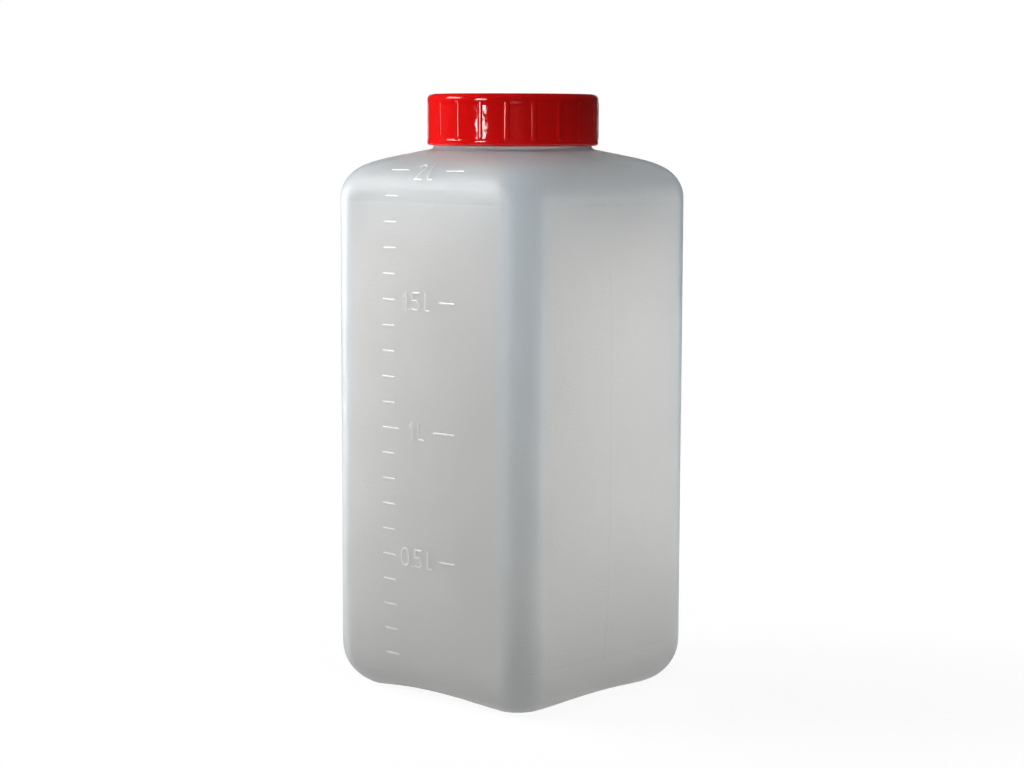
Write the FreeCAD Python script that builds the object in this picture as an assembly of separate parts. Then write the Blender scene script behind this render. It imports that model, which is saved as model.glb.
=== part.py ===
"""Square wide-mouth storage bottle of two litres, with a raised volume scale and a ribbed screw cap.

Three pieces: the blow-moulded bottle with its threaded neck, the screw cap, and the foam liner that the cap
presses on the neck's rim. Millimetres, +Z up, origin on the surface that the bottle stands on, on its axis.
The scale is on the front, which faces -Y.
"""

import FreeCAD
import Part
import math
import os

from FreeCAD import Vector

# Body of the bottle
BODY_WIDTH = 101.7
CORNER_RADIUS = 12.8
PANEL_BULGE = 2.5
PANEL_FLATNESS = 4
WALL = 1.2
WALL_TOP = 191.1
BASE_RISE = 17.0
BASE_INSET = 13.0
FOOT_CORNER_RADIUS = 8.0
BASE_THICKNESS = 1.5
ARCH_SPAN = 66.0
ARCH_RISE = 3.6
SIDE_ARCH_SPAN = 58.0
SIDE_ARCH_RISE = 2.4
SHOULDER_RISE = 18.5
SHOULDER_SLOPE = 0.36
SHOULDER_FULLNESS = 5.5

# Neck of the bottle and its thread
NECK_BORE = 53.0
NECK_WALL = 2.1
THROAT_LEDGE = 1.0
FLARE_RADIUS = 2.7
FLARE_ANGLE = 75.0
FLARE_LAND = 0.5
COLLAR_LAND = 0.37
RIM_LAND = 0.9
RIM_ROUND = 0.5
THREAD_PITCH = 6.0
THREAD_TURNS = 1.5
THREAD_DEPTH = 1.6
THREAD_ROOT_WIDTH = 2.8
THREAD_CREST_WIDTH = 1.2
THREAD_BITE = 0.3
RUN_OUT_ANGLE = 25.0

# Screw cap and liner
THREAD_CLEARANCE = 0.35
CAP_GAP = 1.6
CAP_TOP_THICKNESS = 1.6
CAP_CROWN = 0.3
CAP_WALL = 2.3
CAP_EDGE_RADIUS = 2.2
CAP_LEAD_IN = 0.7
CAP_LIP_CHAMFER = 0.3
BAND_RELIEF = 0.3
BOTTOM_BAND_HEIGHT = 1.8
TOP_BAND_LAND = 0.2
RIB_COUNT = 20
RIB_WIDTH = 2.3
RIB_RELIEF = 0.4
RIB_ROUND = 0.25
RIB_ROOT = 0.5
RIB_TURN = 1.9
LINER_THICKNESS = 1.4
LINER_CLEARANCE = 0.3

# Raised volume scale on the front
STEP_VOLUME = 100.0e3
FIRST_MARK_HEIGHT = 17.0
WALL_MARKS = 19
LITRE_MARK = 10
WALL_FIGURES = {5: "0.5 L", 10: "1 L", 15: "1.5 L"}
TOP_FIGURE = "2 L"
SCALE_REACH = 18.8
MARK_LENGTH = 6.6
LITRE_MARK_LENGTH = 9.0
DASH_LENGTH = 7.9
LITRE_DASH_LENGTH = 10.6
TOP_DASH_LENGTH = 9.3
MARK_WIDTH = 0.8
MARK_RELIEF = 0.45
MARK_ROOT = 0.6
FIGURE_HEIGHT = 7.2
FIGURE_CENTRE = -0.6
TOP_DRAWN_IN = 0.2

# How finely the curved forms are laid out
BASE_SECTIONS = 9
WALL_SECTIONS = 9
SHOULDER_SECTIONS = 10
CIRCLE_SIDE_ANGLE = 5.0
SLOPE_STEP = 0.01

# Body sizes that follow
HALF_WIDTH = BODY_WIDTH / 2
INNER_WIDTH = BODY_WIDTH - 2 * WALL
INNER_CORNER = CORNER_RADIUS - WALL
PANEL_AREA = 2 / 3 * PANEL_BULGE * (BODY_WIDTH - 2 * CORNER_RADIUS)
INNER_AREA = INNER_WIDTH**2 - (4 - math.pi) * INNER_CORNER**2 + 4 * PANEL_AREA
MARK_STEP = STEP_VOLUME / INNER_AREA
SHOULDER_TOP = WALL_TOP + SHOULDER_RISE

# Neck sizes that follow
BORE_RADIUS = NECK_BORE / 2
NECK_RADIUS = BORE_RADIUS + NECK_WALL
THREAD_RADIUS = NECK_RADIUS + THREAD_DEPTH
FLARE_REACH = FLARE_RADIUS * (1 - math.cos(math.radians(FLARE_ANGLE)))
FLARE_RISE = FLARE_RADIUS * math.sin(math.radians(FLARE_ANGLE))
SHOULDER_TOP_RADIUS = THREAD_RADIUS + FLARE_REACH + FLARE_LAND
COLLAR_TOP = SHOULDER_TOP + FLARE_RISE + COLLAR_LAND
CAP_THREAD_DROP = (THREAD_ROOT_WIDTH + THREAD_CREST_WIDTH) / 2 + THREAD_CLEARANCE
THREAD_START = COLLAR_TOP + THREAD_CLEARANCE + CAP_THREAD_DROP + THREAD_ROOT_WIDTH / 2
THREAD_RISE = THREAD_PITCH * THREAD_TURNS
RIM_TOP = THREAD_START + THREAD_RISE + THREAD_ROOT_WIDTH / 2 + RIM_LAND

# Cap and liner sizes that follow
CAP_BOTTOM = SHOULDER_TOP + CAP_GAP
CAP_CEILING = RIM_TOP + LINER_THICKNESS
CAP_TOP = CAP_CEILING + CAP_TOP_THICKNESS
CAP_BORE_RADIUS = THREAD_RADIUS + THREAD_CLEARANCE
CAP_THREAD_CREST = NECK_RADIUS + THREAD_CLEARANCE
PANEL_RADIUS = CAP_BORE_RADIUS + CAP_WALL
BAND_RADIUS = PANEL_RADIUS + BAND_RELIEF
RIB_RADIUS = PANEL_RADIUS + RIB_RELIEF
PANEL_BOTTOM = CAP_BOTTOM + BOTTOM_BAND_HEIGHT
PANEL_TOP = CAP_TOP - CAP_EDGE_RADIUS - TOP_BAND_LAND
LINER_RADIUS = CAP_BORE_RADIUS - LINER_CLEARANCE

# Figures as pen strokes in a box one unit high
FIGURE_STROKES = {
    "0": [
        *[(0.15, 0), (0.42, 0), (0.57, 0.2), (0.57, 0.8)],
        *[(0.42, 1), (0.15, 1), (0, 0.8), (0, 0.2), (0.15, 0)],
    ],
    "1": [(0, 0.72), (0.24, 1), (0.24, 0)],
    "2": [(0, 0.8), (0.15, 1), (0.42, 1), (0.57, 0.8), (0.57, 0.62), (0, 0), (0.57, 0)],
    "5": [(0.53, 1), (0.04, 1), (0, 0.55), (0.37, 0.58), (0.56, 0.4), (0.56, 0.17), (0.4, 0), (0, 0.05)],
    "L": [(0, 1), (0, 0), (0.34, 0)],
    ".": [(0, 0), (0, 0)],
    " ": [],
}
FIGURE_SPACE = 0.24
SPACE_WIDTH = 0.01

ORIGIN = Vector(0, 0, 0)
UP = Vector(0, 0, 1)
RIGHT = Vector(1, 0, 0)
BACK = Vector(0, 1, 0)


def polar(radius, degrees, z):
    """The point at that radius and angle about the bottle's axis."""
    angle = math.radians(degrees)
    return Vector(radius * math.cos(angle), radius * math.sin(angle), z)


def arc_about_axis(centre, radius, low, high, z):
    """A level arc between two angles about the vertical through centre."""
    points = [centre + polar(radius, angle, z) for angle in (low, (low + high) / 2, high)]
    return Part.Arc(*points).toShape()


def line(start, end):
    """A straight edge."""
    return Part.LineSegment(start, end).toShape()


def closed_outline(points):
    """Straight edges round a list of points, back to the first."""
    return Part.Wire([line(a, b) for a, b in zip(points, points[1:] + points[:1])])


def rounded_square(half_width, corner_radius, z, bulge=0):
    """A level outline of four sides and four round corners, from the front's left end.

    A bulge makes each side an arc that meets its corners without a kink and stands proud by that much midway.
    """
    flat = half_width - corner_radius
    side_angle = 2 * math.degrees(math.atan2(bulge, flat))
    edges = []
    for quarter in range(4):
        along = polar(1, 90 * quarter, 0)
        facing = 90 * quarter - 90
        out = polar(1, facing, 0)
        corner = (out + along) * flat
        previous_corner = (out - along) * flat
        start = previous_corner + polar(corner_radius, facing - side_angle, z)
        end = corner + polar(corner_radius, facing + side_angle, z)
        middle = out * (half_width + bulge) + UP * z
        edges.append(Part.Arc(start, middle, end).toShape() if bulge else line(start, end))
        edges.append(arc_about_axis(corner, corner_radius, facing + side_angle, facing + 90 - side_angle, z))
    return Part.Wire(edges)


def split_circle(radius, z):
    """A level circle in eight arcs that match the sides and corners of rounded_square."""
    edges = []
    for quarter in range(4):
        middle = 90 * quarter - 90
        side_end = middle + CIRCLE_SIDE_ANGLE
        edges.append(arc_about_axis(ORIGIN, radius, middle - CIRCLE_SIDE_ANGLE, side_end, z))
        edges.append(arc_about_axis(ORIGIN, radius, side_end, middle + 90 - CIRCLE_SIDE_ANGLE, z))
    return Part.Wire(edges)


def shoulder_rise_at(drawn_in):
    """Share of the shoulder's rise where it has drawn in by that share of the way to the neck."""
    rounded = math.sqrt(1 - (1 - drawn_in) ** SHOULDER_FULLNESS)
    return (1 - SHOULDER_SLOPE) * rounded + SHOULDER_SLOPE * drawn_in


def shoulder(half_width, corner_radius, top_radius, rise):
    """From the square wall to the round neck, along a full round edge with some slope left at its top."""
    sections = []
    for step in range(SHOULDER_SECTIONS - 1):
        drawn_in = 1 - math.cos(math.pi / 2 * step / (SHOULDER_SECTIONS - 1))
        width = half_width + (top_radius - half_width) * drawn_in
        corner = corner_radius + (top_radius - corner_radius) * drawn_in
        sections.append(rounded_square(width, corner, WALL_TOP + rise * shoulder_rise_at(drawn_in)))
    sections.append(split_circle(top_radius, WALL_TOP + rise))
    return Part.makeLoft(sections, True)


def rounded_base(half_width, corner_radius, foot_corner_radius, bottom):
    """From the flat foot up to the wall, along a quarter ellipse."""
    sections = []
    for step in range(BASE_SECTIONS):
        angle = math.pi / 2 * step / (BASE_SECTIONS - 1)
        drawn_in = 1 - math.sin(angle)
        width = half_width - BASE_INSET * drawn_in
        corner = corner_radius + (foot_corner_radius - corner_radius) * drawn_in
        sections.append(rounded_square(width, corner, BASE_RISE + (bottom - BASE_RISE) * math.cos(angle)))
    return Part.makeLoft(sections, True)


def wall(half_width, corner_radius):
    """The four upright panels and their corners. The panels swell from straight edges at top and bottom."""
    sections = []
    for step in range(WALL_SECTIONS):
        share = step / (WALL_SECTIONS - 1)
        bulge = PANEL_BULGE * (1 - (2 * share - 1) ** PANEL_FLATNESS)
        height = BASE_RISE + (WALL_TOP - BASE_RISE) * share
        sections.append(rounded_square(half_width, corner_radius, height, bulge))
    return Part.makeLoft(sections, True)


def arches(lift):
    """Two long round bars, raised by lift, that hollow the base between its feet through each pair of faces."""
    length = 2 * BODY_WIDTH
    bars = []
    for along, span, rise in ((BACK, ARCH_SPAN, ARCH_RISE), (RIGHT, SIDE_ARCH_SPAN, SIDE_ARCH_RISE)):
        radius = ((span / 2) ** 2 + rise**2) / (2 * rise)
        start = UP * (rise - radius) - along * (length / 2)
        bars.append(Part.makeCylinder(radius + lift, length, start, along))
    return bars


def body_form(inset, top_radius, bottom):
    """The bottle below its neck as one full solid, drawn in by inset on every side."""
    half_width = HALF_WIDTH - inset
    corner = CORNER_RADIUS - inset
    base = rounded_base(half_width, corner, FOOT_CORNER_RADIUS - inset, bottom)
    top = shoulder(half_width, corner, top_radius, SHOULDER_RISE - inset)
    return base.fuse([wall(half_width, corner), top]).cut(arches(bottom))


def turned(edges):
    """The solid that an outline of edges sweeps round the bottle's axis."""
    return Part.Face(Part.Wire(edges)).revolve(ORIGIN, UP, 360)


def profile_points(*pairs):
    """Points of an axial section from (radius, height) pairs."""
    return [Vector(radius, 0, height) for radius, height in pairs]


def profile_arc(centre_radius, centre_height, radius, low, high):
    """An arc of an axial section, between two angles above the outward direction."""
    points = []
    for degrees in (low, (low + high) / 2, high):
        angle = math.radians(degrees)
        out = radius * math.cos(angle)
        up = radius * math.sin(angle)
        points.append(Vector(centre_radius + out, 0, centre_height + up))
    return Part.Arc(*points).toShape()


def joined(points, arcs):
    """Edges from point to point in turn, where arcs gives the edge that starts at a numbered point."""
    edges = []
    for index, (start, end) in enumerate(zip(points, points[1:] + points[:1])):
        edges.append(arcs.get(index) or line(start, end))
    return edges


def thread_run_outs(root_radius, crest_radius, start):
    """Wedges that pare the thread down to nothing at its two ends."""
    far_radius = crest_radius + 2 * (crest_radius - root_radius)
    wedges = []
    for angle, height, inwards in ((0, 0, 1), (360 * THREAD_TURNS, THREAD_RISE, -1)):
        bottom = start + height - THREAD_ROOT_WIDTH
        full = angle + inwards * RUN_OUT_ANGLE
        before = angle - inwards * RUN_OUT_ANGLE
        corners = [
            polar(root_radius, angle, bottom),
            polar(crest_radius, full, bottom),
            polar(far_radius, full, bottom),
            polar(far_radius, before, bottom),
            polar(root_radius, before, bottom),
        ]
        wedges.append(Part.Face(closed_outline(corners)).extrude(UP * 2 * THREAD_ROOT_WIDTH))
    return wedges


def helical_thread(root_radius, crest_radius, start):
    """A right-hand thread from root to crest, sunk a little into the wall that carries it."""
    outwards = math.copysign(1, crest_radius - root_radius)
    sunk = root_radius - outwards * THREAD_BITE
    flank_slope = (THREAD_ROOT_WIDTH - THREAD_CREST_WIDTH) / abs(crest_radius - root_radius)
    sunk_half = (THREAD_ROOT_WIDTH + flank_slope * THREAD_BITE) / 2
    crest_half = THREAD_CREST_WIDTH / 2
    section = profile_points(
        (sunk, -sunk_half), (crest_radius, -crest_half), (crest_radius, crest_half), (sunk, sunk_half)
    )
    path = Part.Wire(Part.makeHelix(THREAD_PITCH, THREAD_RISE, sunk))
    thread = path.makePipeShell([closed_outline(section)], True, True)
    thread.translate(UP * start)
    return thread.cut(thread_run_outs(root_radius, crest_radius, start))


def neck_form():
    """The neck as a full solid: flare, collar, threaded length and rounded rim."""
    flare_end = THREAD_RADIUS + FLARE_REACH
    flare_centre = (THREAD_RADIUS + FLARE_RADIUS, SHOULDER_TOP + FLARE_RISE)
    rim_centre = (NECK_RADIUS - RIM_ROUND, RIM_TOP - RIM_ROUND)
    points = profile_points(
        (0, WALL_TOP),
        (flare_end, WALL_TOP),
        (flare_end, SHOULDER_TOP),
        (THREAD_RADIUS, SHOULDER_TOP + FLARE_RISE),
        (THREAD_RADIUS, COLLAR_TOP),
        (NECK_RADIUS, COLLAR_TOP),
        (NECK_RADIUS, RIM_TOP - RIM_ROUND),
        (NECK_RADIUS - RIM_ROUND, RIM_TOP),
        (0, RIM_TOP),
    )
    flare = profile_arc(*flare_centre, FLARE_RADIUS, 180 + FLARE_ANGLE, 180)
    rim = profile_arc(*rim_centre, RIM_ROUND, 0, 90)
    return turned(joined(points, {2: flare, 6: rim}))


def pen_stroke(start, end):
    """A round-ended bar from start to end on the plane z = 0, from below any panel to above it."""
    radius = MARK_WIDTH / 2
    depth = MARK_ROOT + PANEL_BULGE + 2 * MARK_RELIEF
    if (end - start).Length == 0:
        return Part.makeCylinder(radius, depth, start - UP * MARK_ROOT)
    along = (end - start).normalize()
    side = UP.cross(along) * radius
    cap_end = Part.Arc(end - side, end + along * radius, end + side).toShape()
    cap_start = Part.Arc(start + side, start - along * radius, start - side).toShape()
    outline = Part.Wire([line(start - side, end - side), cap_end, line(end + side, start + side), cap_start])
    bar = Part.Face(outline).extrude(UP * depth)
    bar.translate(UP * -MARK_ROOT)
    return bar


def level_stroke(left, right, height):
    """A mark between two side positions, measured over its round ends."""
    inside = MARK_WIDTH / 2
    return pen_stroke(Vector(left + inside, height, 0), Vector(right - inside, height, 0))


def figure_width(sign):
    """Width of one figure in heights."""
    return max((x for x, y in FIGURE_STROKES[sign]), default=SPACE_WIDTH)


def figure_strokes(text, centre, height):
    """The strokes of a line of figures, centred on a point of the plane z = 0."""
    pen_height = FIGURE_HEIGHT - MARK_WIDTH
    width = sum(figure_width(sign) for sign in text) + FIGURE_SPACE * (len(text) - 1)
    left = centre - width * pen_height / 2
    bottom = height - pen_height / 2
    strokes = []
    for sign in text:
        points = [Vector(left + x * pen_height, bottom + y * pen_height, 0) for x, y in FIGURE_STROKES[sign]]
        strokes += [pen_stroke(a, b) for a, b in zip(points, points[1:])]
        left += pen_height * (figure_width(sign) + FIGURE_SPACE)
    return strokes


def stood_on(strokes, origin, up_slope):
    """Strokes drawn on the plane z = 0, moved onto a surface with that origin and upward direction."""
    turn = FreeCAD.Rotation(RIGHT, up_slope, RIGHT.cross(up_slope), "XYZ")
    for stroke in strokes:
        stroke.Placement = FreeCAD.Placement(origin, turn).multiply(stroke.Placement)
    return strokes


def wall_scale():
    """The marks up the front wall, with figures and dashes beside each half litre."""
    strokes = []
    for mark in range(1, WALL_MARKS + 1):
        height = FIRST_MARK_HEIGHT + (mark - 1) * MARK_STEP
        is_litre = mark == LITRE_MARK
        length = LITRE_MARK_LENGTH if is_litre else MARK_LENGTH
        strokes.append(level_stroke(-SCALE_REACH, length - SCALE_REACH, height))
        if mark in WALL_FIGURES:
            dash = LITRE_DASH_LENGTH if is_litre else DASH_LENGTH
            strokes += figure_strokes(WALL_FIGURES[mark], FIGURE_CENTRE, height)
            strokes.append(level_stroke(SCALE_REACH - dash, SCALE_REACH, height))
    return stood_on(strokes, Vector(0, -HALF_WIDTH, 0), UP)


def top_scale():
    """The full mark on the front of the shoulder, on the shoulder's own slope."""
    strokes = figure_strokes(TOP_FIGURE, FIGURE_CENTRE, 0)
    strokes.append(level_stroke(-SCALE_REACH, TOP_DASH_LENGTH - SCALE_REACH, 0))
    strokes.append(level_stroke(SCALE_REACH - TOP_DASH_LENGTH, SCALE_REACH, 0))
    inset = HALF_WIDTH - SHOULDER_TOP_RADIUS
    below, above = (
        Vector(0, inset * drawn_in - HALF_WIDTH, WALL_TOP + SHOULDER_RISE * shoulder_rise_at(drawn_in))
        for drawn_in in (TOP_DRAWN_IN - SLOPE_STEP, TOP_DRAWN_IN + SLOPE_STEP)
    )
    return stood_on(strokes, (below + above) / 2, (above - below).normalize())


def raised_scale():
    """All marks, trimmed to stand proud of the bottle's skin by the same relief."""
    strokes = wall_scale() + top_scale()
    skin = body_form(-MARK_RELIEF, SHOULDER_TOP_RADIUS + MARK_RELIEF, 0)
    return strokes[0].fuse(strokes[1:]).common(skin).removeSplitter()


def bottle():
    """The blow-moulded bottle: hollow body, open neck, thread and raised scale in one skin."""
    cavity = body_form(WALL, BORE_RADIUS + THROAT_LEDGE, BASE_THICKNESS)
    bore = Part.makeCylinder(BORE_RADIUS, RIM_TOP - WALL_TOP, UP * WALL_TOP)
    thread = helical_thread(NECK_RADIUS, THREAD_RADIUS, THREAD_START)
    outside = body_form(0, SHOULDER_TOP_RADIUS, 0).fuse([neck_form(), raised_scale()])
    return outside.cut([cavity, bore]).fuse(thread)


def cap_rib(turn):
    """One upright rib with a rounded crest, rooted in the panel behind it."""
    half = RIB_WIDTH / 2
    root = PANEL_RADIUS - RIB_ROOT
    shoulder_radius = RIB_RADIUS - RIB_ROUND
    corners = [
        Vector(root, -half, PANEL_BOTTOM),
        Vector(shoulder_radius, -half, PANEL_BOTTOM),
        Vector(shoulder_radius, half, PANEL_BOTTOM),
        Vector(root, half, PANEL_BOTTOM),
    ]
    crest = Part.Arc(corners[1], Vector(RIB_RADIUS, 0, PANEL_BOTTOM), corners[2]).toShape()
    rib = Part.Face(Part.Wire(joined(corners, {1: crest}))).extrude(UP * (PANEL_TOP - PANEL_BOTTOM))
    rib.rotate(ORIGIN, UP, turn)
    return rib


def screw_cap():
    """The cap: a crowned shell with two smooth bands, ribbed panels between them, and an inside thread."""
    edge_centre = (BAND_RADIUS - CAP_EDGE_RADIUS, CAP_TOP - CAP_EDGE_RADIUS)
    points = profile_points(
        (0, CAP_CEILING),
        (CAP_BORE_RADIUS, CAP_CEILING),
        (CAP_BORE_RADIUS, CAP_BOTTOM + CAP_LEAD_IN),
        (CAP_BORE_RADIUS + CAP_LEAD_IN, CAP_BOTTOM),
        (BAND_RADIUS - CAP_LIP_CHAMFER, CAP_BOTTOM),
        (BAND_RADIUS, CAP_BOTTOM + CAP_LIP_CHAMFER),
        (BAND_RADIUS, PANEL_BOTTOM),
        (PANEL_RADIUS, PANEL_BOTTOM),
        (PANEL_RADIUS, PANEL_TOP),
        (BAND_RADIUS, PANEL_TOP),
        (BAND_RADIUS, edge_centre[1]),
        (edge_centre[0], CAP_TOP),
        (0, CAP_TOP + CAP_CROWN),
    )
    edge = profile_arc(*edge_centre, CAP_EDGE_RADIUS, 0, 90)
    crown_radius = (edge_centre[0] ** 2 + CAP_CROWN**2) / (2 * CAP_CROWN)
    crown_angle = math.degrees(math.asin(edge_centre[0] / crown_radius))
    crown = profile_arc(0, CAP_TOP + CAP_CROWN - crown_radius, crown_radius, 90 - crown_angle, 90)
    shell = turned(joined(points, {10: edge, 11: crown}))
    ribs = [cap_rib(RIB_TURN + 360 * number / RIB_COUNT) for number in range(RIB_COUNT)]
    thread = helical_thread(CAP_BORE_RADIUS, CAP_THREAD_CREST, THREAD_START - CAP_THREAD_DROP)
    return shell.fuse(ribs + [thread])


def sealing_liner():
    """The foam disc between the neck's rim and the cap, held in the cap above its thread."""
    return Part.makeCylinder(LINER_RADIUS, LINER_THICKNESS, UP * RIM_TOP)


def main():
    os.makedirs("parts", exist_ok=True)
    for make in (bottle, screw_cap, sealing_liner):
        name = make.__name__
        solids = make().Solids
        piece = solids[0] if len(solids) == 1 else Part.makeCompound(solids)
        piece.exportStep(f"parts/{name}.step")
        box = piece.BoundBox
        print(f"{name}: {len(solids)} solid, valid {piece.isValid()}, {piece.Volume / 1000:.1f} cm3")
        print(f"  z from {box.ZMin:.2f} to {box.ZMax:.2f} mm")


main()
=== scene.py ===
# %% [markdown]
# A square storage bottle of natural polyethylene with a raised volume scale and a red screw cap. The
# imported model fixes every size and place. This lesson dresses it: each cell makes one piece or one
# finish, explains it first, and prints what it made. The pieces' lengths are written in millimetres, as
# on a drawing, and turned into Blender's metres when a mesh is built. The finishes and the studio are in
# metres from the start.

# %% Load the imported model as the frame
import math

import bpy
import numpy as np
from mathutils import Matrix, Vector


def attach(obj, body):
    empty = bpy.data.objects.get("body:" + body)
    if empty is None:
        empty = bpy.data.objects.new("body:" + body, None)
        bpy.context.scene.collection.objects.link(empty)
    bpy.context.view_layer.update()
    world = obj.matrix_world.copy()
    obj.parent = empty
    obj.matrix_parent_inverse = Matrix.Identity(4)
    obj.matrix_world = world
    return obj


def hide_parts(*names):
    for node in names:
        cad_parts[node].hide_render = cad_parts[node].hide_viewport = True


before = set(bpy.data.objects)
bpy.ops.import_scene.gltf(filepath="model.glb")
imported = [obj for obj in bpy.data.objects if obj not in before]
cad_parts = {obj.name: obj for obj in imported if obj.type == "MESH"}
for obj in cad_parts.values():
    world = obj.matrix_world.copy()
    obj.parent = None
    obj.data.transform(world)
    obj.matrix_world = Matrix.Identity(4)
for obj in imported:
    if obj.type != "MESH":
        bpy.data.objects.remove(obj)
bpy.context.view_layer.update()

MM = 0.001

# %% [markdown]
# Every outer surface here is a sheet of rings stacked along the axis: a ring of points at each height,
# joined to the next ring by quads. A lathe or a loft would do the same, but rings in code keep each size
# named, and the bottle's skin can run up the outside, over the rim and down the inside as one closed
# sheet.

# %% Helpers that place an object and make a smooth mesh
def placed(name, data):
    """A new object of the scene, at the origin."""
    thing = bpy.data.objects.new(name, data)
    bpy.context.scene.collection.objects.link(thing)
    return thing


def smooth_mesh(name, points, faces):
    """A smooth-shaded object from points in millimetres."""
    mesh = bpy.data.meshes.new(name)
    mesh.from_pydata((np.asarray(points) * MM).tolist(), [], faces)
    mesh.validate()
    mesh.shade_smooth()
    return placed(name, mesh)


# %% Helpers that make a ring and skin a stack of rings
def ring_at(angles, height, distance):
    """A level ring of points at those angles, with one distance or a distance for each angle."""
    level = np.full_like(angles, height)
    return np.column_stack([distance * np.cos(angles), distance * np.sin(angles), level])


def skin_rings(name, rings, first_pole, last_pole):
    """Joins rings of equal count, and closes the first and the last of them on a pole."""
    rows, columns = len(rings), len(rings[0])
    points = np.vstack([np.vstack(rings), first_pole, last_pole])
    first, last = rows * columns, rows * columns + 1
    faces = []
    for row in range(rows - 1):
        low, high = row * columns, (row + 1) * columns
        for column in range(columns):
            after = (column + 1) % columns
            faces.append((low + column, low + after, high + after, high + column))
    end = (rows - 1) * columns
    for column in range(columns):
        after = (column + 1) % columns
        faces.append((first, after, column))
        faces.append((last, end + column, end + after))
    return smooth_mesh(name, points, faces)


# %% [markdown]
# The body is a square with round corners whose four panels swell outwards, as blown plastic does. In each
# direction round the axis the outline has one distance, so a ring is that distance at a list of angles.
# The angles are closer together at the corners, where the light changes fastest, and beside the mould's
# parting line.

# %% The outline of the body
HALF_WIDTH = 50.85
CORNER_RADIUS = 12.8
PANEL_BULGE = 2.5
PANEL_FLATNESS = 4
TINY = 0.001


def panel_arc(flat, corner_radius, bulge):
    """The tilt at the ends of a swollen panel, and the centre and radius of the arc that it follows."""
    tilt = 2 * math.atan2(max(bulge, TINY), flat)
    return tilt, flat - flat / math.tan(tilt), corner_radius + flat / math.sin(tilt)


def outline(angles, half_width, corner_radius, bulge=0.0):
    """Distance from the axis to a square with round corners and swollen sides, at each angle."""
    flat = half_width - corner_radius
    if flat < TINY:
        return np.full_like(angles, half_width)
    side = np.abs((angles + math.pi / 4) % (math.pi / 2) - math.pi / 4)
    tilt, centre, radius = panel_arc(flat, corner_radius, bulge)
    panel_end = math.atan2(flat + corner_radius * math.sin(tilt), flat + corner_radius * math.cos(tilt))
    panel = centre * np.cos(side) + np.sqrt(radius**2 - (centre * np.sin(side)) ** 2)
    across = np.maximum(corner_radius**2 - (flat * (np.cos(side) - np.sin(side))) ** 2, 0)
    corner = flat * (np.cos(side) + np.sin(side)) + np.sqrt(across)
    return np.where(side < panel_end, panel, corner)


# %% The angles of the columns
PANEL_COLUMNS = 13
CORNER_COLUMNS = 13
PARTING_PLACE = -3.0
PARTING_STEPS = (-0.5, -0.22, 0.0, 0.22, 0.5)

flat_half = HALF_WIDTH - CORNER_RADIUS
panel_turns = np.arctan2(np.linspace(0, flat_half, PANEL_COLUMNS, endpoint=False), HALF_WIDTH)
sweep = np.radians(np.linspace(0, 45, CORNER_COLUMNS + 1)[:-1])
corner_turns = np.arctan2(
    flat_half + CORNER_RADIUS * np.sin(sweep), flat_half + CORNER_RADIUS * np.cos(sweep)
)
eighth = np.concatenate([panel_turns, corner_turns])
quarter = np.concatenate([eighth, [math.pi / 4], -eighth[1:]])
parting = np.arctan2(PARTING_PLACE + np.array(PARTING_STEPS), HALF_WIDTH + PANEL_BULGE)
columns = [quarter + math.pi / 2 * number for number in range(4)]
columns += [parting, math.pi - parting]
COLUMN_ANGLES = np.unique(np.round(np.concatenate(columns) % (2 * math.pi), 6))
print("columns round the bottle", len(COLUMN_ANGLES))

# %% [markdown]
# Up the bottle, the section changes by simple rules: a quarter ellipse from the foot to the wall, panels
# that swell from straight edges, and a shoulder that turns the square into the neck's circle. The inside
# follows the same rules, drawn in by the wall's thickness, so the wall is a real wall and light can
# travel through it.

# %% Sizes of the bottle from foot to rim
WALL = 1.2
WALL_TOP = 191.1
BASE_RISE = 17.0
BASE_INSET = 13.0
FOOT_CORNER_RADIUS = 8.0
BASE_THICKNESS = 1.5
ARCH_SPAN = 66.0
ARCH_RISE = 3.6
SIDE_ARCH_SPAN = 58.0
SIDE_ARCH_RISE = 2.4
ARCH_BLEND = 1.0
SHOULDER_RISE = 18.5
SHOULDER_SLOPE = 0.36
SHOULDER_FULLNESS = 5.5
SHOULDER_TOP = WALL_TOP + SHOULDER_RISE
BORE_RADIUS = 26.5
THROAT_RADIUS = 27.5
NECK_RADIUS = 28.6
THREAD_RADIUS = 30.2
FLARE_RADIUS = 2.7
FLARE_ANGLE = 75.0
FLARE_LAND = 0.5
COLLAR_TOP = 212.58
RIM_TOP = 227.98
RIM_ROUND = 0.5

flare_reach = FLARE_RADIUS * (1 - math.cos(math.radians(FLARE_ANGLE)))
SHOULDER_TOP_RADIUS = THREAD_RADIUS + flare_reach + FLARE_LAND


def shoulder_rise_at(drawn_in):
    """Share of the shoulder's rise where it has drawn in by that share of the way to the neck."""
    rounded = math.sqrt(1 - (1 - drawn_in) ** SHOULDER_FULLNESS)
    return (1 - SHOULDER_SLOPE) * rounded + SHOULDER_SLOPE * drawn_in


def panel_bulge(height):
    """How far the panels swell at that height."""
    share = (height - BASE_RISE) / (WALL_TOP - BASE_RISE)
    return PANEL_BULGE * (1 - (2 * share - 1) ** PANEL_FLATNESS)


# %% Rings of the base, with the arches between its feet
FOOT_ROWS = 16
BASE_ROWS = 16


def arched(ring, lift):
    """Lifts a ring of the base onto the two arches that cross under it, with a soft edge."""
    for side, span, rise in ((0, ARCH_SPAN, ARCH_RISE), (1, SIDE_ARCH_SPAN, SIDE_ARCH_RISE)):
        radius = ((span / 2) ** 2 + rise**2) / (2 * rise)
        across = np.minimum(np.abs(ring[:, side]), radius)
        arch = rise + lift - radius + np.sqrt(radius**2 - across**2)
        gap = np.abs(ring[:, 2] - arch)
        soft = np.maximum(ARCH_BLEND - gap, 0) ** 2 / (4 * ARCH_BLEND)
        ring[:, 2] = np.maximum(ring[:, 2], arch) + soft
    return ring


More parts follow.
